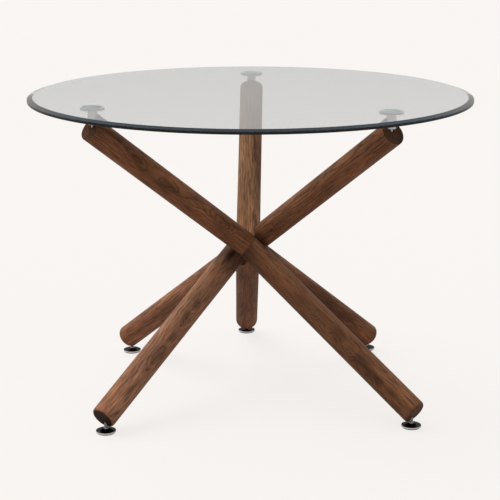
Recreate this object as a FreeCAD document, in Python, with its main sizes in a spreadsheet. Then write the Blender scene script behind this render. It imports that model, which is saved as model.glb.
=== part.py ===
import FreeCAD, Part
import math
import os
import Sketcher
from FreeCAD import Placement, Rotation, Vector

# Round dining table: a clear glass pane on three support discs, carried by a star of round wooden
# poles that meet at one crossing and stand on five levelling feet. Millimetres, +Z up, the origin on
# the floor under the centre of the pane.

UP = Vector(0, 0, 1)

# Lengths closer than this count as equal
SAME = 0.000001

# Driving dimensions: name, value, meaning. Bearings are degrees counter-clockwise from +X.
SIZES = (
    ("table_height", 750, "floor to the upper face of the pane"),
    ("glass_diameter", 1067, "pane across its rim"),
    ("glass_thickness", 10, "pane"),
    ("bevel_width", 13, "polished bevel, measured inward from the rim"),
    ("bevel_depth", 4, "polished bevel, measured down from the upper face"),
    ("arris", 0.8, "small chamfer on the lower rim"),
    ("bumper_diameter", 46, "clear soft disc under the pane"),
    ("bumper_thickness", 1.5, "clear soft disc under the pane"),
    ("disc_diameter", 56, "support disc"),
    ("disc_thickness", 5.5, "support disc"),
    ("disc_round", 1.5, "rounded lower rim of the support disc"),
    ("post_diameter", 22, "support post"),
    ("post_length", 26, "support post, from its seat to the disc"),
    ("post_chamfer", 1, "chamfer on the lower rim of the post"),
    ("seat_rise", 12.2, "seat of a post, above the point where the post meets the pole axis"),
    ("spigot_diameter", 10, "spigot of the post that enters the disc"),
    ("spigot_length", 3.5, "spigot of the post that enters the disc"),
    ("stud_diameter", 8, "stud between post and insert"),
    ("stud_in_post", 14, "length of stud inside the post"),
    ("stud_in_insert", 18, "length of stud inside the insert"),
    ("insert_diameter", 12, "threaded insert, outside"),
    ("insert_length", 20, "threaded insert"),
    ("fit_clearance", 0.1, "radial room of a fixed piece in its hole"),
    ("running_clearance", 0.05, "radial room of a stem that turns or slides"),
    ("drill_allowance", 1.5, "extra depth of a blind hole"),
    ("pole_diameter", 60, "round wooden pole"),
    ("upper_round", 3, "rounded rim of an upper pole end"),
    ("lower_round", 8, "rounded rim of a lower pole end"),
    ("upper_overrun", 8, "pole beyond the point where a post meets its axis"),
    ("lower_overrun", 13, "pole beyond the point where a stem meets its axis"),
    ("back_left_overrun", 21, "back left leg beyond that point"),
    ("rear_overrun", 6, "rear leg beyond that point"),
    ("hub_x", -6.4, "crossing of the pole axes"),
    ("hub_y", 62.4, "crossing of the pole axes"),
    ("hub_height", 355, "crossing of the pole axes, above the floor"),
    ("left_rim_distance", 119.1, "left support, inward from the rim of the pane"),
    ("left_bearing", 209.9, "left support"),
    ("right_rim_distance", 123.3, "right support, inward from the rim of the pane"),
    ("right_bearing", 320.2, "right support"),
    ("rear_rim_distance", 127, "rear support, inward from the rim of the pane"),
    ("rear_bearing", 89.6, "rear support"),
    ("front_left_radius", 456.5, "front left foot, from the centre line"),
    ("front_left_bearing", 222.5, "front left foot"),
    ("front_right_radius", 467, "front right foot, from the centre line"),
    ("front_right_bearing", 324.1, "front right foot"),
    ("back_left_radius", 434.2, "back left foot, from the centre line"),
    ("back_left_bearing", 138.1, "back left foot"),
    ("rear_foot_radius", 470, "rear foot, from the centre line"),
    ("rear_foot_bearing", 91.3, "rear foot"),
    ("front_left_setback", 63, "aim of the front left leg, behind the crossing"),
    ("front_left_lift", 8, "aim of the front left leg, above the crossing"),
    ("right_arm_setback", 63, "aim of the right arm, behind the crossing"),
    ("right_arm_drop", 18, "aim of the right arm, below the crossing"),
    ("back_left_drop", 5, "aim of the back left leg, below the crossing"),
    ("rear_arm_start", 15, "inner end of the rear arm, from the crossing"),
    ("right_arm_start", -8, "inner end of the right arm, outward from its aim"),
    ("front_right_start", 0, "inner end of the front right leg, from the crossing"),
    ("front_left_start", 10, "inner end of the front left leg, from its aim"),
    ("back_left_start", 40, "inner end of the back left leg, from its aim"),
    ("rear_leg_start", 38, "inner end of the rear leg, from the crossing"),
    ("rod_diameter", 8, "steel rod that holds a half pole"),
    ("rod_length", 110, "steel rod that holds a half pole"),
    ("rod_stop", 16, "inner end of that rod, from the crossing"),
    ("rod_anchor", 125, "point on the axis of a half pole that its rod points at, from the aim"),
    ("foot_axis_height", 43.4, "where a stem meets the axis of its pole"),
    ("back_left_axis_height", 50, "the same for the back left leg"),
    ("rear_axis_height", 36.5, "the same for the rear leg"),
    ("foot_insert_height", 34, "lower end of a foot insert"),
    ("stem_diameter", 8, "stem of a levelling foot"),
    ("stem_engagement", 18, "stem inside its insert"),
    ("ball_diameter", 12, "ball at the lower end of a stem"),
    ("foot_pad_diameter", 42, "non-slip pad under a foot"),
    ("foot_pad_thickness", 2.5, "non-slip pad under a foot"),
    ("foot_diameter", 46.5, "foot disc"),
    ("foot_height", 8.5, "foot disc, without its pad"),
    ("foot_edge", 3.6, "straight edge of the foot disc"),
    ("foot_neck_diameter", 18, "flat top of the foot disc"),
    ("socket_floor", 1.5, "foot disc under the ball"),
)

doc = FreeCAD.newDocument("RoundDiningTable")
sheet = doc.addObject("Spreadsheet::Sheet", "Sizes")
for row, (alias, value, meaning) in enumerate(SIZES, start=1):
    sheet.set("A%d" % row, alias)
    sheet.set("B%d" % row, str(value))
    sheet.setAlias("B%d" % row, alias)
    sheet.set("C%d" % row, meaning)
doc.recompute()


def size(alias):
    return float(sheet.get(alias))


# Pieces that are written to files, in the order they are made
pieces = []


def piece(label, feature):
    feature.Label = label
    pieces.append(feature)
    return feature


def cylinder(name, radius, height, base, axis=UP):
    made = doc.addObject("Part::Cylinder", name)
    made.setExpression("Radius", radius)
    made.setExpression("Height", height)
    made.Placement = Placement(base, Rotation(UP, axis))
    return made


def sphere(name, radius, centre):
    made = doc.addObject("Part::Sphere", name)
    made.setExpression("Radius", radius)
    made.Placement = Placement(centre, Rotation())
    return made


def fuse(name, shapes):
    made = doc.addObject("Part::MultiFuse", name)
    made.Shapes = shapes
    return made


def cut(name, base, tool):
    made = doc.addObject("Part::Cut", name)
    made.Base = base
    made.Tool = tool
    return made


def common(name, base, tool):
    made = doc.addObject("Part::Common", name)
    made.Base = base
    made.Tool = tool
    return made


def polar(radius, bearing, height):
    turn = math.radians(size(bearing))
    return Vector(radius * math.cos(turn), radius * math.sin(turn), height)


def support_point(side):
    radius = size("glass_diameter") / 2 - size(side + "_rim_distance")
    return polar(radius, side + "_bearing", support_level)


def foot_point(corner, level):
    return polar(size(corner + "_radius"), corner + "_bearing", size(level))


def at_height(origin, direction, height):
    return origin + direction * ((height - origin.z) / direction.z)


def circle_sketch(body, name, radius_cell, face_height=0):
    sketch = body.newObject("Sketcher::SketchObject", name)
    plane = [item for item in body.Origin.OriginFeatures if item.Role == "XY_Plane"]
    sketch.AttachmentSupport = (plane[0], [""])
    sketch.MapMode = "FlatFace"
    sketch.AttachmentOffset = Placement(Vector(0, 0, face_height), Rotation())
    sketch.addGeometry(Part.Circle(Vector(0, 0, 0), UP, size(radius_cell) / 2), False)
    sketch.addConstraint(Sketcher.Constraint("Coincident", 0, 3, -1, 1))
    sketch.addConstraint(Sketcher.Constraint("Diameter", 0, size(radius_cell)))
    sketch.setExpression("Constraints[1]", "Sizes.%s" % radius_cell)
    return sketch


def pad(body, name, sketch):
    made = body.newObject("PartDesign::Pad", name)
    made.Profile = sketch
    return made


def circle_edge(feature, height, radius):
    # The name of the round edge at this height, in the frame of its own body
    for number, edge in enumerate(feature.Shape.Edges, start=1):
        if not isinstance(edge.Curve, Part.Circle):
            continue
        level = abs(edge.Curve.Center.z - height) < SAME
        if level and abs(edge.Curve.Radius - radius) < SAME:
            return "Edge%d" % number
    raise ValueError("no round edge at %g on %s" % (height, feature.Name))


def dress(body, kind, name, base, height, radius):
    made = body.newObject(kind, name)
    made.Base = (base, [circle_edge(base, height, radius)])
    return made


# Pane

def make_glass_top():
    radius = size("glass_diameter") / 2
    body = doc.addObject("PartDesign::Body", "GlassTop")
    slab = pad(body, "GlassSlab", circle_sketch(body, "GlassOutline", "glass_diameter"))
    slab.setExpression("Length", "Sizes.glass_thickness")
    doc.recompute()
    bevel = dress(body, "PartDesign::Chamfer", "GlassBevel", slab, size("glass_thickness"), radius)
    bevel.ChamferType = "Two distances"
    bevel.setExpression("Size", "Sizes.bevel_depth")
    bevel.setExpression("Size2", "Sizes.bevel_width")
    doc.recompute()
    arris = dress(body, "PartDesign::Chamfer", "GlassArris", bevel, 0, radius)
    arris.setExpression("Size", "Sizes.arris")
    body.Placement = Placement(Vector(0, 0, glass_underside), Rotation())
    piece("glass_top", body)


# Supports under the pane: bumper, disc, post, stud and insert

def make_support(side, axis_point):
    def above(height):
        return Vector(axis_point.x, axis_point.y, height)

    bumper_base = glass_underside - size("bumper_thickness")
    piece("bumper_" + side, cylinder(
        "Bumper_" + side, "Sizes.bumper_diameter / 2", "Sizes.bumper_thickness", above(bumper_base)))

    disc = doc.addObject("PartDesign::Body", "Disc_" + side)
    plate = pad(disc, "DiscPlate_" + side, circle_sketch(disc, "DiscOutline_" + side, "disc_diameter"))
    plate.setExpression("Length", "Sizes.disc_thickness")
    doc.recompute()
    rim = dress(disc, "PartDesign::Fillet", "DiscRim_" + side, plate, 0, size("disc_diameter") / 2)
    rim.setExpression("Radius", "Sizes.disc_round")
    disc.Placement = Placement(above(disc_underside), Rotation())
    socket = cylinder(
        "DiscSocket_" + side, "Sizes.spigot_diameter / 2 + Sizes.fit_clearance",
        "Sizes.spigot_length", above(disc_underside))
    piece("support_disc_" + side, cut("SupportDisc_" + side, disc, socket))

    post = doc.addObject("PartDesign::Body", "Post_" + side)
    shaft = pad(post, "PostShaft_" + side, circle_sketch(post, "PostOutline_" + side, "post_diameter"))
    shaft.setExpression("Length", "Sizes.post_length")
    spigot_sketch = circle_sketch(post, "SpigotOutline_" + side, "spigot_diameter", size("post_length"))
    spigot = pad(post, "PostSpigot_" + side, spigot_sketch)
    spigot.setExpression("Length", "Sizes.spigot_length")
    doc.recompute()
    edge = dress(post, "PartDesign::Chamfer", "PostEdge_" + side, spigot, 0, size("post_diameter") / 2)
    edge.setExpression("Size", "Sizes.post_chamfer")
    post.Placement = Placement(above(seat_height), Rotation())
    bore = cylinder(
        "PostBore_" + side, "Sizes.stud_diameter / 2 + Sizes.fit_clearance",
        "Sizes.stud_in_post + Sizes.drill_allowance", above(seat_height))
    piece("support_post_" + side, cut("SupportPost_" + side, post, bore))

    piece("post_stud_" + side, cylinder(
        "Stud_" + side, "Sizes.stud_diameter / 2",
        "Sizes.stud_in_post + Sizes.seat_rise + Sizes.stud_in_insert",
        above(support_level - size("stud_in_insert"))))

    sleeve_base = above(support_level - size("insert_length"))
    sleeve = cylinder("Sleeve_" + side, "Sizes.insert_diameter / 2", "Sizes.insert_length", sleeve_base)
    thread = cylinder(
        "SleeveBore_" + side, "Sizes.stud_diameter / 2 + Sizes.fit_clearance", "Sizes.insert_length",
        sleeve_base)
    piece("post_insert_" + side, cut("PostInsert_" + side, sleeve, thread))


def support_holes(side, axis_point):
    # A flat seat for the post, and under it the blind hole of the insert
    seat = cylinder(
        "Seat_" + side, "Sizes.post_diameter / 2 + Sizes.fit_clearance", "Sizes.post_length",
        Vector(axis_point.x, axis_point.y, seat_height))
    depth = size("seat_rise") + size("insert_length") + size("drill_allowance")
    hole = cylinder(
        "InsertHole_" + side, "Sizes.insert_diameter / 2 + Sizes.fit_clearance",
        "Sizes.seat_rise + Sizes.insert_length + Sizes.drill_allowance",
        Vector(axis_point.x, axis_point.y, seat_height - depth))
    return [seat, hole]


# Levelling feet: insert, stem with its ball, disc and pad

def make_foot(corner, axis_point):
    def above(height):
        return Vector(axis_point.x, axis_point.y, height)

    sleeve = cylinder(
        "FootSleeve_" + corner, "Sizes.insert_diameter / 2", "Sizes.insert_length",
        above(size("foot_insert_height")))
    thread = cylinder(
        "FootSleeveBore_" + corner, "Sizes.stem_diameter / 2 + Sizes.running_clearance",
        "Sizes.insert_length", above(size("foot_insert_height")))
    piece("foot_insert_" + corner, cut("FootInsert_" + corner, sleeve, thread))

    ball = sphere("Ball_" + corner, "Sizes.ball_diameter / 2", above(ball_height))
    shank = cylinder(
        "Shank_" + corner, "Sizes.stem_diameter / 2", "%g" % (stem_top - ball_height), above(ball_height))
    piece("foot_stem_" + corner, fuse("FootStem_" + corner, [ball, shank]))

    # The dome runs from the straight edge up to the flat neck on one sphere
    wide = size("foot_diameter") / 2
    neck = size("foot_neck_diameter") / 2
    rise = size("foot_height") - size("foot_edge")
    drop = (wide * wide - neck * neck - rise * rise) / (2 * rise)
    underside = size("foot_pad_thickness")
    blank = cylinder(
        "FootBlank_" + corner, "Sizes.foot_diameter / 2", "Sizes.foot_height", above(underside))
    dome = sphere(
        "FootDome_" + corner, "%.9g" % math.hypot(wide, drop),
        above(underside + size("foot_edge") - drop))
    domed = common("FootDomed_" + corner, blank, dome)
    socket = sphere(
        "FootSocket_" + corner, "Sizes.ball_diameter / 2 + Sizes.running_clearance", above(ball_height))
    piece("foot_disc_" + corner, cut("FootDisc_" + corner, domed, socket))

    piece("foot_pad_" + corner, cylinder(
        "FootPad_" + corner, "Sizes.foot_pad_diameter / 2", "Sizes.foot_pad_thickness", above(0)))


def foot_holes(corner, axis_point):
    # The insert's hole from the open end of the pole, and a narrower one for the end of the stem
    sleeve_top = size("foot_insert_height") + size("insert_length")
    hole = cylinder(
        "FootInsertHole_" + corner, "Sizes.insert_diameter / 2 + Sizes.fit_clearance",
        "Sizes.foot_insert_height + Sizes.insert_length", Vector(axis_point.x, axis_point.y, 0))
    room = cylinder(
        "StemRoom_" + corner, "Sizes.stem_diameter / 2 + Sizes.fit_clearance", "Sizes.drill_allowance",
        Vector(axis_point.x, axis_point.y, sleeve_top))
    return [hole, room]


# Poles

def pole_blank(name, low_end, high_end, low_round, high_round):
    # A turned pole between two end centres; a round of None leaves that end square
    direction = (high_end - low_end).normalize()
    length = low_end.distanceToPoint(high_end)
    radius = size("pole_diameter") / 2
    body = doc.addObject("PartDesign::Body", name)
    tip = pad(body, name + "_turned", circle_sketch(body, name + "_section", "pole_diameter"))
    tip.Length = length
    doc.recompute()
    for end, height, rounding in (("low", 0, low_round), ("high", length, high_round)):
        if rounding is None:
            continue
        tip = dress(body, "PartDesign::Fillet", "%s_%s_rim" % (name, end), tip, height, radius)
        tip.setExpression("Radius", "Sizes.%s" % rounding)
        doc.recompute()
    body.Placement = Placement(low_end, Rotation(UP, direction))
    return body


glass_underside = size("table_height") - size("glass_thickness")
disc_underside = glass_underside - size("bumper_thickness") - size("disc_thickness")
seat_height = disc_underside - size("post_length")
support_level = seat_height - size("seat_rise")
ball_height = size("foot_pad_thickness") + size("socket_floor") + size("ball_diameter") / 2
stem_top = size("foot_insert_height") + size("stem_engagement")

# Where posts and stems meet the pole axes; the back right foot ends the cross pole's straight line
hub = Vector(size("hub_x"), size("hub_y"), size("hub_height"))
supports = {side: support_point(side) for side in ("left", "right", "rear")}
cross_up = (supports["left"] - hub).normalize()
feet = {
    "front_left": foot_point("front_left", "foot_axis_height"),
    "front_right": foot_point("front_right", "foot_axis_height"),
    "back_left": foot_point("back_left", "back_left_axis_height"),
    "back_right": at_height(hub, cross_up, size("foot_axis_height")),
    "rear": foot_point("rear_foot", "rear_axis_height"),
}
front_left_aim = hub + Vector(0, size("front_left_setback"), size("front_left_lift"))
right_arm_aim = hub + Vector(0, size("right_arm_setback"), -size("right_arm_drop"))
back_left_aim = hub - Vector(0, 0, size("back_left_drop"))

cross_blank = pole_blank(
    "CrossPoleBlank", feet["back_right"] - cross_up * size("lower_overrun"),
    supports["left"] + cross_up * size("upper_overrun"), "lower_round", "upper_round")

# Half poles: label, point their axis aims at, far point, inner end from the aim, overrun at the far end
# and holes there. Each is scribed to the cross pole and to the half poles listed before it.
HALF_POLES = (
    ("front_right_leg", hub, feet["front_right"], "front_right_start", "lower_overrun",
     foot_holes("front_right", feet["front_right"])),
    ("right_arm", right_arm_aim, supports["right"], "right_arm_start", "upper_overrun",
     support_holes("right", supports["right"])),
    ("rear_arm", hub, supports["rear"], "rear_arm_start", "upper_overrun",
     support_holes("rear", supports["rear"])),
    ("front_left_leg", front_left_aim, feet["front_left"], "front_left_start", "lower_overrun",
     foot_holes("front_left", feet["front_left"])),
    ("back_left_leg", back_left_aim, feet["back_left"], "back_left_start", "back_left_overrun",
     foot_holes("back_left", feet["back_left"])),
    ("rear_leg", hub, feet["rear"], "rear_leg_start", "rear_overrun",
     foot_holes("rear", feet["rear"])),
)

# A steel rod runs from inside the cross pole into each half pole
rod_holes = []
for label, aim, far_point, start, overrun, far_holes in HALF_POLES:
    anchor = aim + (far_point - aim).normalize() * size("rod_anchor")
    along = (anchor - hub).normalize()
    rod_base = hub + along * size("rod_stop")
    piece(label + "_rod", cylinder(
        label + "_bar", "Sizes.rod_diameter / 2", "Sizes.rod_length", rod_base, along))
    rod_holes.append(cylinder(
        label + "_bore", "Sizes.rod_diameter / 2 + Sizes.fit_clearance",
        "Sizes.rod_length + Sizes.drill_allowance", rod_base, along))

piece("cross_pole", cut("CrossPole", cross_blank, fuse(
    "CrossPoleCuts", rod_holes + support_holes("left", supports["left"])
    + foot_holes("back_right", feet["back_right"]))))
scribed_to = [cross_blank]
for label, aim, far_point, start, overrun, far_holes in HALF_POLES:
    outward = (far_point - aim).normalize()
    inner_end = aim + outward * size(start)
    far_end = far_point + outward * size(overrun)
    if far_point.z > hub.z:
        blank = pole_blank(label + "_blank", inner_end, far_end, None, "upper_round")
    else:
        blank = pole_blank(label + "_blank", far_end, inner_end, "lower_round", None)
    scribed = blank
    for neighbour in scribed_to:
        scribed = cut("%s_on_%s" % (label, neighbour.Name), scribed, neighbour)
    piece(label, cut(label + "_drilled", scribed, fuse(label + "_holes", rod_holes + far_holes)))
    scribed_to = scribed_to + [blank]

make_glass_top()
for side, point in supports.items():
    make_support(side, point)
for corner, point in feet.items():
    make_foot(corner, point)

doc.recompute()

# Nothing is written unless every object built and every piece is a valid solid
for made in doc.Objects:
    if "Invalid" in made.State or "Error" in made.State:
        raise RuntimeError("%s failed: %s" % (made.Name, made.State))
for made in pieces:
    if made.Shape.isNull() or not made.Shape.isValid() or len(made.Shape.Solids) != 1:
        raise RuntimeError("%s is not one valid solid" % made.Label)

os.makedirs("parts", exist_ok=True)
for made in pieces:
    made.Shape.exportStep("parts/%s.step" % made.Label)
print("pieces written:", len(pieces))
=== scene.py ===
import math

import bmesh
import bpy
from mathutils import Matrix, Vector


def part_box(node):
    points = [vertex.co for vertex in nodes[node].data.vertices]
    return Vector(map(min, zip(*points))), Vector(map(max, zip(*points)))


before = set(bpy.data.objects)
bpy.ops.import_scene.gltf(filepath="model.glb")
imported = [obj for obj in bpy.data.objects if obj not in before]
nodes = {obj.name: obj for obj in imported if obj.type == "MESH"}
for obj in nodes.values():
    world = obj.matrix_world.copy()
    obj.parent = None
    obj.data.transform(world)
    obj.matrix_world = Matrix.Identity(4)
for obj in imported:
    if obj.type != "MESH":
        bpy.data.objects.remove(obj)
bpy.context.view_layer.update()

# Looks of a round dining table: clear bevelled pane, polished supports, dark walnut poles that
# cross in a star, and dark nickel levelling feet. Metres, +Z up, seen from -Y as in the photograph.
# Every visible piece is a CAD node with a finish of its own; the scene adds only the studio.

SIDES = ("left", "right", "rear")
CORNERS = ("front_left", "front_right", "back_left", "back_right", "rear")
UP = Vector((0, 0, 1))

# The point where the poles cross, the points that some of the half poles aim at beside it,
# the heights at which posts and stems meet the pole axes, and how far the wood runs past them
CROSSING = Vector((-0.0064, 0.0624, 0.355))
FRONT_LEFT_AIM = CROSSING + Vector((0, 0.063, 0.008))
RIGHT_ARM_AIM = CROSSING + Vector((0, 0.063, -0.018))
BACK_LEFT_AIM = CROSSING - Vector((0, 0, 0.005))
SEAT_AXIS_HEIGHT = 0.6948
FOOT_AXIS_HEIGHT = {"back_left": 0.050, "rear": 0.0365}
USUAL_FOOT_AXIS_HEIGHT = 0.0434
UPPER_OVERRUN = 0.008
LOWER_OVERRUN = 0.013
REAR_OVERRUN = 0.006
BACK_LEFT_OVERRUN = 0.021
POLE_RADIUS = 0.030


def middle(node):
    low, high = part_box(node)
    return (low + high) / 2


def seat_point(side):
    centre = middle("support_post_" + side)
    return Vector((centre.x, centre.y, SEAT_AXIS_HEIGHT))


def foot_point(corner):
    centre = middle("foot_disc_" + corner)
    return Vector((centre.x, centre.y, FOOT_AXIS_HEIGHT.get(corner, USUAL_FOOT_AXIS_HEIGHT)))


# Shader helpers

def set_stops(ramp, stops):
    elements = ramp.color_ramp.elements
    while len(elements) < len(stops):
        elements.new(0.5)
    for element, (place, colour) in zip(elements, stops):
        element.position = place
        element.color = (*colour, 1)


class Finish:
    """A material with its node tree, and short calls that add and join nodes."""

    def __init__(self, name):
        self.material = bpy.data.materials.new(name)
        self.material.use_nodes = True
        self.tree = self.material.node_tree
        self.tree.nodes.clear()
        self.output = self.node("ShaderNodeOutputMaterial")

    def node(self, kind, **settings):
        made = self.tree.nodes.new(kind)
        for key, value in settings.items():
            setattr(made, key, value)
        return made

    def feed(self, socket, value):
        if isinstance(value, bpy.types.NodeSocket):
            self.tree.links.new(value, socket)
        else:
            socket.default_value = value

    def math(self, operation, first, second=0.0, clamp=False):
        made = self.node("ShaderNodeMath", operation=operation, use_clamp=clamp)
        self.feed(made.inputs[0], first)
        self.feed(made.inputs[1], second)
        return made.outputs[0]

    def object_coords(self):
        return self.node("ShaderNodeTexCoord").outputs["Object"]

    def mapping(self, vector, location=(0, 0, 0), rotation=(0, 0, 0), scale=(1, 1, 1)):
        made = self.node("ShaderNodeMapping")
        self.feed(made.inputs["Vector"], vector)
        made.inputs["Location"].default_value = location
        made.inputs["Rotation"].default_value = rotation
        made.inputs["Scale"].default_value = scale
        return made.outputs[0]

    def height(self, vector):
        made = self.node("ShaderNodeSeparateXYZ")
        self.feed(made.inputs[0], vector)
        return made.outputs["Z"]

    def length(self, vector):
        made = self.node("ShaderNodeVectorMath", operation="LENGTH")
        self.feed(made.inputs[0], vector)
        return made.outputs["Value"]

    def noise(self, vector, scale, detail=2.0, roughness=0.5):
        made = self.node("ShaderNodeTexNoise")
        self.feed(made.inputs["Vector"], vector)
        made.inputs["Scale"].default_value = scale
        made.inputs["Detail"].default_value = detail
        made.inputs["Roughness"].default_value = roughness
        return made.outputs[0]

    def spread(self, value, low, high, to_low=0.0, to_high=1.0, smooth=False):
        made = self.node("ShaderNodeMapRange")
        made.interpolation_type = "SMOOTHSTEP" if smooth else "LINEAR"
        self.feed(made.inputs["Value"], value)
        made.inputs["From Min"].default_value = low
        made.inputs["From Max"].default_value = high
        made.inputs["To Min"].default_value = to_low
        made.inputs["To Max"].default_value = to_high
        return made.outputs[0]

    def ramp(self, value, stops):
        made = self.node("ShaderNodeValToRGB")
        self.feed(made.inputs[0], value)
        set_stops(made, stops)
        return made.outputs[0]

    def blend(self, kind, amount, first, second):
        made = self.node("ShaderNodeMix", data_type="RGBA", blend_type=kind)
        self.feed(made.inputs[0], amount)
        for socket, colour in ((made.inputs[6], first), (made.inputs[7], second)):
            self.feed(socket, colour if isinstance(colour, bpy.types.NodeSocket) else (*colour, 1))
        return made.outputs[2]

    def bump(self, height, strength, distance):
        made = self.node("ShaderNodeBump")
        made.inputs["Strength"].default_value = strength
        made.inputs["Distance"].default_value = distance
        self.feed(made.inputs["Height"], height)
        return made.outputs[0]

    def surface(self, **sockets):
        made = self.node("ShaderNodeBsdfPrincipled")
        for key, value in sockets.items():
            socket = made.inputs[key.replace("_", " ")]
            if isinstance(value, tuple) and len(value) == 3:
                value = (*value, 1)
            self.feed(socket, value)
        self.feed(self.output.inputs["Surface"], made.outputs[0])
        return made


# Walnut: growth rings of a log whose heart runs beside the pole at a slight lean

WALNUT_PALE = (0.235, 0.100, 0.046)
WALNUT_WARM = (0.230, 0.083, 0.032)
WALNUT_MID = (0.170, 0.069, 0.032)
WALNUT_DEEP = (0.080, 0.032, 0.017)
WALNUT_LINE = (0.030, 0.013, 0.008)
WALNUT_AMBER = (0.420, 0.190, 0.090)
RING_COLOURS = (
    (0.0, WALNUT_MID), (0.35, WALNUT_PALE), (0.68, WALNUT_MID), (0.88, WALNUT_LINE),
    (1.0, WALNUT_MID))
RINGS_PER_METRE = 215.0
RING_STRENGTH = 0.72
RING_WANDER = 5.0
RING_FRAY = 1.0
KNOT_RAGGEDNESS = 1.6
SIDE_LEAN = 0.6
DARK_END_GRAIN = 0.12
PALE_END_GRAIN = 0.55
END_SKIN = 0.0002
LOWER_END_FADE = 0.0030
UPPER_END_FADE = 0.0016

# How fine each pattern is: per metre across the pole, twice, and along it
WANDER_GRAIN = (22, 22, 6.5)
FIBRE_GRAIN = (360, 360, 22)
PORE_GRAIN = (640, 640, 26)
PATCH_GRAIN = (30, 30, 7)
WARM_GRAIN = (60, 60, 5)
AMBER_GRAIN = (560, 560, 40)
WARM_OFFSET = (3.1, 1.7, 0.4)
AMBER_OFFSET = (5.3, 2.9, 0.7)


def knot_and_shade_spot(finish, along, wander, place, degrees, width, stretch, swell, darkness):
    """A ragged spot on the pole's skin: what it adds to the rings, and how much it darkens.
    Knots use it, and so do spots of painted shade and painted light near the joints.
    """
    angle = math.radians(degrees)
    spot = finish.length(finish.mapping(
        along,
        location=(-POLE_RADIUS * math.cos(angle) / width, -POLE_RADIUS * math.sin(angle) / width,
                  -place / (width * stretch)),
        scale=(1 / width, 1 / width, 1 / (width * stretch))))
    reach = finish.math("ADD", spot, finish.math(
        "MULTIPLY", finish.math("SUBTRACT", wander, 0.5), KNOT_RAGGEDNESS))
    added = finish.spread(reach, 0.0, 1.0, swell, 0.0, smooth=True)
    knot_and_shade_stain = finish.spread(reach, 0.10, 0.95, darkness, 0.0, smooth=True)
    return added, knot_and_shade_stain


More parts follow.
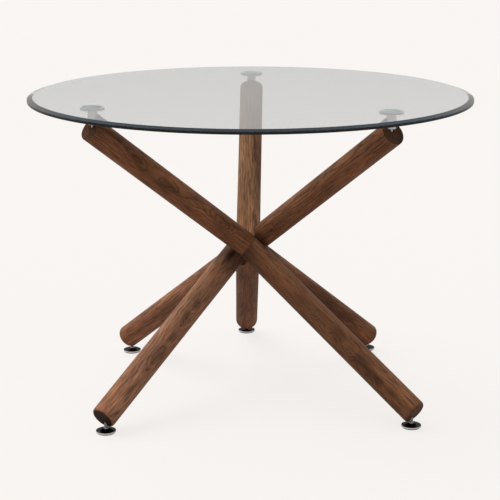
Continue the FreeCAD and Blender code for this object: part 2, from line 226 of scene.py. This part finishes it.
def walnut(name, low, high, ends, heart, lean, tone, knots_and_painted_shade):
    """ends: how far the wood runs past low, how dark that end is, and how far it runs past high,
    None where the end is hidden; the dark lower end is partly painted shade; heart: place of the
    log's heart beside the pole; lean: its lean in degrees; tone: brightness in red, green and blue;
    knots_and_painted_shade: knots, and spots of painted shade and painted light near the joints, as
    (distance along the pole, turn in degrees, width, stretch along, swell of the rings, darkness)."""
    finish = Finish(name)
    axis = (high - low).normalized()
    length = (high - low).length
    turn = axis.rotation_difference(UP).to_matrix()
    along = finish.mapping(
        finish.object_coords(), location=-(turn @ low), rotation=turn.to_euler())

    def grain(scale, location=(0, 0, 0), detail=3.0, roughness=0.5):
        return finish.noise(
            finish.mapping(along, location=location, scale=scale), 1.0, detail, roughness)

    wander = grain(WANDER_GRAIN, roughness=0.55)
    fibre = grain(FIBRE_GRAIN, roughness=0.65)
    pores = grain(PORE_GRAIN, detail=1.0)
    patches = grain(PATCH_GRAIN, roughness=0.6)
    warmth = grain(WARM_GRAIN, location=WARM_OFFSET)
    amber = grain(AMBER_GRAIN, location=AMBER_OFFSET, detail=2.0)

    # Rings round the heart of the log, swollen and darkened at the knots and at the spots of painted
    # shade and painted light
    log = finish.mapping(
        along, location=(*heart, 0),
        rotation=(math.radians(lean), math.radians(SIDE_LEAN * lean), 0))
    flat = finish.node("ShaderNodeVectorMath", operation="MULTIPLY")
    finish.feed(flat.inputs[0], log)
    flat.inputs[1].default_value = (1, 1, 0)
    rings = finish.math("MULTIPLY", finish.length(flat.outputs[0]), RINGS_PER_METRE)
    rings = finish.math("ADD", rings, finish.math("MULTIPLY", wander, RING_WANDER))
    knot_and_painted_shade_darkening = None
    for spot in knots_and_painted_shade:
        added, knot_and_shade_stain = knot_and_shade_spot(finish, along, wander, *spot)
        rings = finish.math("ADD", rings, added)
        knot_and_painted_shade_darkening = knot_and_shade_stain if knot_and_painted_shade_darkening is None else finish.math("ADD", knot_and_painted_shade_darkening, knot_and_shade_stain)
    ring = finish.math("ADD", finish.math("FRACT", rings), finish.math(
        "MULTIPLY", finish.math("SUBTRACT", fibre, 0.5), RING_FRAY))
    colour = finish.blend("MIX", RING_STRENGTH, WALNUT_MID, finish.ramp(ring, RING_COLOURS))
    colour = finish.blend("MIX", finish.spread(warmth, 0.48, 0.70, 0.0, 0.75), colour, WALNUT_WARM)

    # Shade: paler and darker patches, knots, painted shade and painted light near the joints,
    #     a dark lower end that is partly painted shade, and striped end grain above
    shade = finish.spread(patches, 0.32, 0.70, 0.67, 1.33)
    if knot_and_painted_shade_darkening is not None:
        shade = finish.math(
            "MULTIPLY", shade, finish.math("SUBTRACT", 1.0, knot_and_painted_shade_darkening, clamp=True))
    height = finish.height(along)
    lower_run, lower_darkness, upper_run = ends
    # Darker lower end face: dark end grain, deepened as painted shade on the face that looks down to
    # the floor
    if lower_run is not None:
        shade = finish.math("MULTIPLY", shade, finish.spread(
            height, END_SKIN - lower_run, LOWER_END_FADE - lower_run, lower_darkness, 1.0))
    if upper_run is not None:
        top = length + upper_run
        stripes = finish.spread(ring, 0.30, 0.85, PALE_END_GRAIN - 1, DARK_END_GRAIN - 1)
        face = finish.spread(height, top - UPPER_END_FADE, top - END_SKIN, 0.0, 1.0)
        shade = finish.math("MULTIPLY", shade, finish.math(
            "ADD", finish.math("MULTIPLY", face, stripes), 1.0))
    toned = finish.node("ShaderNodeCombineColor")
    for channel, part in zip(toned.inputs, tone):
        finish.feed(channel, finish.math("MULTIPLY", shade, part))
    colour = finish.blend("MULTIPLY", 1.0, colour, toned.outputs[0])

    # Fibres: dark streaks, thin amber ones between them, and open pores
    streak = finish.spread(fibre, 0.44, 0.66, 0.0, 0.55)
    colour = finish.blend("MIX", streak, colour, WALNUT_DEEP)
    glow = finish.spread(amber, 0.56, 0.70, 0.0, 0.20)
    colour = finish.blend("MIX", glow, colour, finish.blend(
        "MULTIPLY", 1.0, WALNUT_AMBER, toned.outputs[0]))
    fleck = finish.spread(pores, 0.60, 0.70, 0.0, 0.55)
    colour = finish.blend("MIX", fleck, colour, WALNUT_LINE)
    relief = finish.math(
        "ADD", finish.math("MULTIPLY", fibre, 0.6), finish.math("MULTIPLY", fleck, -0.5))
    finish.surface(
        Base_Color=colour, Roughness=finish.spread(fibre, 0.2, 0.8, 0.44, 0.58),
        Specular_IOR_Level=0.12, Normal=finish.bump(relief, 0.30, 0.0004))
    return finish.material


# label: axis from its low end to its high end, ends, heart of the log, lean, tone, knots and painted
# shade
POLES = {
    "cross_pole": (
        foot_point("back_right"), seat_point("left"), (LOWER_OVERRUN, 0.35, UPPER_OVERRUN),
        (0.034, 0.026), 2.4, (1.47, 1.41, 1.385), (
            (0.946, -60, 0.024, 2.4, 2.6, 0.36), (0.905, -75, 0.018, 2.6, 1.6, 0.32),
            (0.846, -71, 0.028, 2.2, 3.4, 0.48), (0.800, -62, 0.018, 3.0, 1.2, 0.28),
            (0.665, -60, 0.026, 1.8, 2.6, 0.08), (0.629, -72, 0.030, 1.6, 3.0, 0.15),
            (0.750, -70, 0.022, 3.4, 0.6, -0.35), (0.890, -60, 0.018, 3.4, 0.6, -0.30),
            # painted shade: this last spot darkens the cross pole's part below the crossing
            (0.180, -60, 0.070, 5.0, 0.5, 0.48))),
    "right_arm": (
        RIGHT_ARM_AIM, seat_point("right"), (None, None, UPPER_OVERRUN),
        (-0.040, 0.014), 1.2, (1.39, 1.35, 1.38), (
            # the second spot is painted shade, a contact shadow beside the cross pole
            (0.142, -97, 0.020, 1.5, 3.2, 0.15), (0.070, -90, 0.050, 1.0, 0.5, 0.65))),
    "rear_arm": (
        CROSSING, seat_point("rear"), (None, None, UPPER_OVERRUN),
        (0.030, -0.036), 0.8, (1.98, 2.28, 2.55), (
            (0.250, -85, 0.014, 16.0, 0.4, -0.28), (0.250, -32, 0.024, 12.0, 0.2, 0.42))),
    "front_left_leg": (
        foot_point("front_left"), FRONT_LEFT_AIM, (LOWER_OVERRUN, 0.08, None),
        (0.020, -0.040), 2.2, (1.87, 2.12, 2.62), (
            (0.400, -67, 0.024, 5.0, 5.0, 0.0), (0.365, -69, 0.014, 1.8, 1.4, 0.45),
            (0.317, -78, 0.018, 1.8, 1.0, 0.40), (0.188, -67, 0.020, 2.2, 1.6, 0.35),
            # the spots at 0.540 and 0.510 are painted shade, a contact shadow under the cross pole
            (0.250, -140, 0.030, 9.0, 0.3, -0.25), (0.540, -140, 0.055, 1.4, 0.3, 0.46),
            (0.540, -60, 0.055, 1.4, 0.3, 0.46), (0.510, -100, 0.070, 2.0, 0.2, 0.18))),
    "front_right_leg": (
        foot_point("front_right"), CROSSING, (LOWER_OVERRUN, 0.55, None),
        (-0.024, 0.038), 1.8, (1.15, 1.165, 1.22), (
            (0.302, -95, 0.022, 1.8, 2.4, 0.22), (0.251, -89, 0.024, 1.7, 3.0, 0.42),
            (0.1625, -101, 0.024, 1.6, 3.0, 0.40), (0.123, -111, 0.022, 1.6, 2.4, 0.36),
            (0.096, -108, 0.014, 1.6, 0.8, 0.35), (0.0535, -111, 0.016, 1.8, 1.0, 0.35),
            (0.391, -56, 0.020, 2.6, 0.6, -0.45), (0.205, -98, 0.016, 1.8, 0.6, -0.35),
            # the two spots at 0.560 are painted shade and a painted light strip by the crossing
            (0.560, -125, 0.036, 3.2, 0.3, 0.30), (0.560, -60, 0.016, 4.0, 0.3, -0.15))),
    "back_left_leg": (
        foot_point("back_left"), BACK_LEFT_AIM, (BACK_LEFT_OVERRUN, 0.35, None),
        (0.044, 0.012), 1.0, (1.69, 1.76, 2.03), ()),
    "rear_leg": (
        foot_point("rear"), CROSSING, (REAR_OVERRUN, 0.35, None),
        (0.020, 0.040), 1.4, (1.41, 1.26, 1.22), ()),
}


# Glass: clear, with a grey-green cast that grows with the path in it. Light that falls through the
# pane onto the poles and the floor passes as through a thin clear sheet.

GLASS_BEND = 1.52
GLASS_CAST = (0.53, 0.64, 0.64, 1)
GLASS_DENSITY = 17.0
GLASS_PASSING = (0.90, 0.94, 0.92, 1)


def clear_glass():
    finish = Finish("clear_float_glass")
    pane = finish.surface(
        Base_Color=(1.0, 1.0, 1.0), Roughness=0.0, IOR=GLASS_BEND, Transmission_Weight=1.0)
    passing = finish.node("ShaderNodeBsdfTransparent")
    passing.inputs["Color"].default_value = GLASS_PASSING
    path = finish.node("ShaderNodeLightPath")
    mixed = finish.node("ShaderNodeMixShader")
    finish.feed(mixed.inputs[0], path.outputs["Is Shadow Ray"])
    finish.feed(mixed.inputs[1], pane.outputs[0])
    finish.feed(mixed.inputs[2], passing.outputs[0])
    finish.feed(finish.output.inputs["Surface"], mixed.outputs[0])
    body = finish.node("ShaderNodeVolumeAbsorption")
    body.inputs["Color"].default_value = GLASS_CAST
    body.inputs["Density"].default_value = GLASS_DENSITY
    finish.feed(finish.output.inputs["Volume"], body.outputs[0])
    return finish.material


def clear_bumper():
    finish = Finish("clear_soft_bumper")
    dust = finish.noise(finish.object_coords(), 420.0, detail=3.0)
    finish.surface(
        Base_Color=finish.ramp(dust, ((0.3, (0.80, 0.82, 0.83)), (0.7, (0.90, 0.91, 0.92)))),
        Roughness=finish.spread(dust, 0.2, 0.8, 0.16, 0.30), IOR=1.45, Transmission_Weight=0.55)
    return finish.material


# Metal and rubber

TURNING_MARKS = (60, 60, 2600)
# Heights of painted reflections: a dark band round the support discs' rims, and a bright band round
# the feet's straight edge
DISC_PAINTED_BAND_STARTS = (0.7343, 0.7350)
DISC_PAINTED_BAND_ENDS = (0.7368, 0.7376)
FOOT_PAINTED_BAND_ENDS = (0.0056, 0.0064)


def polished_steel(name, colour, low_rough, high_rough, metallic=1.0):
    finish = Finish(name)
    coords = finish.object_coords()
    brushing = finish.noise(finish.mapping(coords, scale=TURNING_MARKS), 1.0, detail=2.0)
    smudge = finish.noise(coords, 55.0, detail=3.0)
    marks = finish.math(
        "ADD", finish.math("MULTIPLY", brushing, 0.6), finish.math("MULTIPLY", smudge, 0.4))
    finish.surface(
        Base_Color=finish.ramp(smudge, (
            (0.3, tuple(0.90 * part for part in colour)), (0.7, colour))),
        Metallic=metallic, Roughness=finish.spread(marks, 0.3, 0.7, low_rough, high_rough),
        Normal=finish.bump(brushing, 0.05, 0.0002))
    return finish.material


def chrome_with_painted_band():
    """Polished disc: bright face and lower edge, and a painted reflection: darker round the middle
    of its rim.
    """
    finish = Finish("chrome_with_painted_band")
    coords = finish.object_coords()
    height = finish.height(coords)
    smudge = finish.noise(coords, 60.0, detail=3.0)
    # painted reflection: a dark band round the middle of the rim
    above = finish.spread(height, *DISC_PAINTED_BAND_STARTS, 0.0, 1.0, smooth=True)
    below = finish.spread(height, *DISC_PAINTED_BAND_ENDS, 1.0, 0.0, smooth=True)
    bright = finish.ramp(smudge, ((0.3, (0.84, 0.84, 0.89)), (0.7, (0.93, 0.93, 0.97))))
    painted_reflection_band = finish.math("MULTIPLY", above, below)
    finish.surface(
        Base_Color=finish.blend("MIX", painted_reflection_band, bright, (0.22, 0.22, 0.24)),
        Metallic=0.55, Roughness=finish.spread(smudge, 0.3, 0.7, 0.04, 0.10))
    return finish.material


def dark_nickel():
    """Dark plated dome; round its straight edge a polished band with a painted bright reflection of
    the floor.
    """
    finish = Finish("dark_nickel")
    coords = finish.object_coords()
    # painted reflection: a bright band round the straight edge stands for the floor it mirrors
    painted_reflection_band = finish.spread(finish.height(coords), *FOOT_PAINTED_BAND_ENDS, 1.0, 0.0, smooth=True)
    smudge = finish.noise(coords, 130.0, detail=3.0)
    dark = finish.ramp(smudge, ((0.3, (0.060, 0.055, 0.050)), (0.7, (0.095, 0.088, 0.080))))
    finish.surface(
        Base_Color=finish.blend("MIX", painted_reflection_band, dark, (0.90, 0.87, 0.84)),
        Metallic=finish.spread(painted_reflection_band, 0.0, 1.0, 1.0, 0.35), Specular_Tint=(0.55, 0.55, 0.55),
        Roughness=finish.spread(smudge, 0.3, 0.7, 0.10, 0.20))
    return finish.material


def black_rubber():
    finish = Finish("black_rubber")
    grain = finish.noise(finish.object_coords(), 900.0, detail=2.0)
    finish.surface(
        Base_Color=finish.ramp(grain, ((0.3, (0.012, 0.012, 0.012)), (0.7, (0.030, 0.030, 0.030)))),
        Roughness=finish.spread(grain, 0.2, 0.8, 0.65, 0.85), Normal=finish.bump(grain, 0.3, 0.0003))
    return finish.material


# Each CAD node gets its finish

def dress_node(node, material):
    mesh = nodes[node].data
    mesh.materials.clear()
    mesh.materials.append(material)


for label, make in POLES.items():
    dress_node(label, walnut("walnut_" + label, *make))

chrome_plain = polished_steel("polished_chrome", (0.88, 0.88, 0.92), 0.05, 0.12, metallic=0.55)
steel_plated = polished_steel("plated_steel", (0.66, 0.66, 0.65), 0.18, 0.32)
steel_stem = polished_steel("stem_steel", (0.36, 0.35, 0.34), 0.16, 0.28)
# Painted shade: the rods' steel is made dark, since a sliver of a rod shows in a gap at the crossing
# that lies in shade
steel_rod = polished_steel("rod_steel_painted_dark", (0.060, 0.055, 0.050), 0.50, 0.65)
brass_turned = polished_steel("turned_brass", (0.72, 0.54, 0.26), 0.22, 0.36)
painted_band_chrome = chrome_with_painted_band()
bumper_clear = clear_bumper()
nickel_dark = dark_nickel()
rubber_black = black_rubber()

dress_node("glass_top", clear_glass())
for side in SIDES:
    dress_node("bumper_" + side, bumper_clear)
    dress_node("support_disc_" + side, painted_band_chrome)
    dress_node("support_post_" + side, chrome_plain)
    dress_node("post_stud_" + side, steel_plated)
    dress_node("post_insert_" + side, brass_turned)
for corner in CORNERS:
    dress_node("foot_insert_" + corner, brass_turned)
    dress_node("foot_stem_" + corner, steel_stem)
    dress_node("foot_disc_" + corner, nickel_dark)
    dress_node("foot_pad_" + corner, rubber_black)
for label in POLES:
    if label + "_rod" in nodes:
        dress_node(label + "_rod", steel_rod)


# Studio: pale floor, soft light, camera

PALE = (0.947, 0.913, 0.888)

# The floor is pale by itself and takes a little light, so that it keeps a soft shadow. Polished
# faces and the light that fills see less of its own paleness.
FLOOR_LIT = (0.100, 0.0965, 0.0936)
FLOOR_OWN = (0.818, 0.788, 0.767)
FLOOR_BOUNCE = 0.44
FLOOR_MIRRORED = 0.35
FLOOR_REACH = 60
FLOOR_HEIGHT = -0.0006

# What the room shows at each sine of elevation: to polished faces, and to the light that fills
ROOM_SEEN = (
    (0.0, (0.60, 0.585, 0.575)), (0.30, (0.60, 0.585, 0.575)), (0.45, (0.46, 0.56, 0.66)),
    (0.85, (0.46, 0.56, 0.66)), (1.0, (0.90, 0.90, 0.92)))
ROOM_FILL = ((0.0, (0.60, 0.60, 0.60)), (0.5, (0.56, 0.56, 0.56)), (1.0, (0.62, 0.62, 0.62)))

KEY_STRENGTH = 2.7
KEY_SPREAD = 50
KEY_FROM = Vector((-0.42, 0.26, 0.87))

# Camera fitted to the photograph, with its focal length in pixels of a 500 pixel frame
FRAME_PIXELS = 500
FOCAL_PIXELS = 1430.4
SENSOR_WIDTH = 36
CAMERA_PLACE = (-0.00109, -3.4329, 1.2386)
CAMERA_DOWN = 14.359
CAMERA_REACH = 200


def studio_floor():
    mesh = bmesh.new()
    bmesh.ops.create_grid(mesh, x_segments=1, y_segments=1, size=FLOOR_REACH)
    bmesh.ops.translate(mesh, verts=mesh.verts, vec=(0, 0, FLOOR_HEIGHT))
    data = bpy.data.meshes.new("studio_floor")
    mesh.to_mesh(data)
    mesh.free()
    floor = bpy.data.objects.new("studio_floor", data)
    bpy.context.scene.collection.objects.link(floor)
    finish = Finish("pale_floor")
    lit = finish.node("ShaderNodeBsdfDiffuse")
    lit.inputs["Color"].default_value = (*FLOOR_LIT, 1)
    plain = finish.node("ShaderNodeEmission")
    plain.inputs["Color"].default_value = (*FLOOR_OWN, 1)
    path = finish.node("ShaderNodeLightPath")
    seen = finish.math(
        "MAXIMUM", path.outputs["Is Camera Ray"], path.outputs["Is Transmission Ray"])
    for ray, share in (("Is Glossy Ray", FLOOR_MIRRORED), ("Is Diffuse Ray", FLOOR_BOUNCE)):
        seen = finish.math("MAXIMUM", seen, finish.math("MULTIPLY", path.outputs[ray], share))
    finish.feed(plain.inputs["Strength"], seen)
    summed = finish.node("ShaderNodeAddShader")
    finish.feed(summed.inputs[0], lit.outputs[0])
    finish.feed(summed.inputs[1], plain.outputs[0])
    finish.feed(finish.output.inputs["Surface"], summed.outputs[0])
    data.materials.append(finish.material)


def studio_room():
    world = bpy.data.worlds.new("studio")
    bpy.context.scene.world = world
    world.use_nodes = True
    tree = world.node_tree
    tree.nodes.clear()
    output = tree.nodes.new("ShaderNodeOutputWorld")
    coords = tree.nodes.new("ShaderNodeTexCoord")
    split = tree.nodes.new("ShaderNodeSeparateXYZ")
    path = tree.nodes.new("ShaderNodeLightPath")
    mixed = tree.nodes.new("ShaderNodeMixShader")
    tree.links.new(coords.outputs["Generated"], split.inputs[0])
    for place, stops in ((1, ROOM_SEEN), (2, ROOM_FILL)):
        ramp = tree.nodes.new("ShaderNodeValToRGB")
        set_stops(ramp, stops)
        sky = tree.nodes.new("ShaderNodeBackground")
        tree.links.new(split.outputs["Z"], ramp.inputs[0])
        tree.links.new(ramp.outputs[0], sky.inputs["Color"])
        tree.links.new(sky.outputs[0], mixed.inputs[place])
    tree.links.new(path.outputs["Is Diffuse Ray"], mixed.inputs[0])
    backdrop = tree.nodes.new("ShaderNodeBackground")
    backdrop.inputs["Color"].default_value = (*PALE, 1)
    final = tree.nodes.new("ShaderNodeMixShader")
    tree.links.new(path.outputs["Is Camera Ray"], final.inputs[0])
    tree.links.new(mixed.outputs[0], final.inputs[1])
    tree.links.new(backdrop.outputs[0], final.inputs[2])
    tree.links.new(final.outputs[0], output.inputs["Surface"])


def studio_lamp():
    """A wide soft lamp. The pane doesn't show its disc, neither mirrored nor from inside."""
    lamp = bpy.data.lights.new("soft_key", "SUN")
    lamp.energy = KEY_STRENGTH
    lamp.angle = math.radians(KEY_SPREAD)
    key = bpy.data.objects.new("soft_key", lamp)
    key.rotation_euler = KEY_FROM.to_track_quat("Z", "Y").to_euler()
    key.visible_glossy = False
    key.visible_transmission = False
    bpy.context.scene.collection.objects.link(key)


def studio_camera():
    data = bpy.data.cameras.new("photo_camera")
    data.sensor_width = SENSOR_WIDTH
    data.lens = SENSOR_WIDTH * FOCAL_PIXELS / FRAME_PIXELS
    data.clip_end = CAMERA_REACH
    camera = bpy.data.objects.new("photo_camera", data)
    camera.location = CAMERA_PLACE
    camera.rotation_euler = (math.radians(90 - CAMERA_DOWN), 0, 0)
    bpy.context.scene.collection.objects.link(camera)
    bpy.context.scene.camera = camera


studio_floor()
studio_room()
studio_lamp()
studio_camera()
bpy.context.scene.view_settings.view_transform = "Standard"
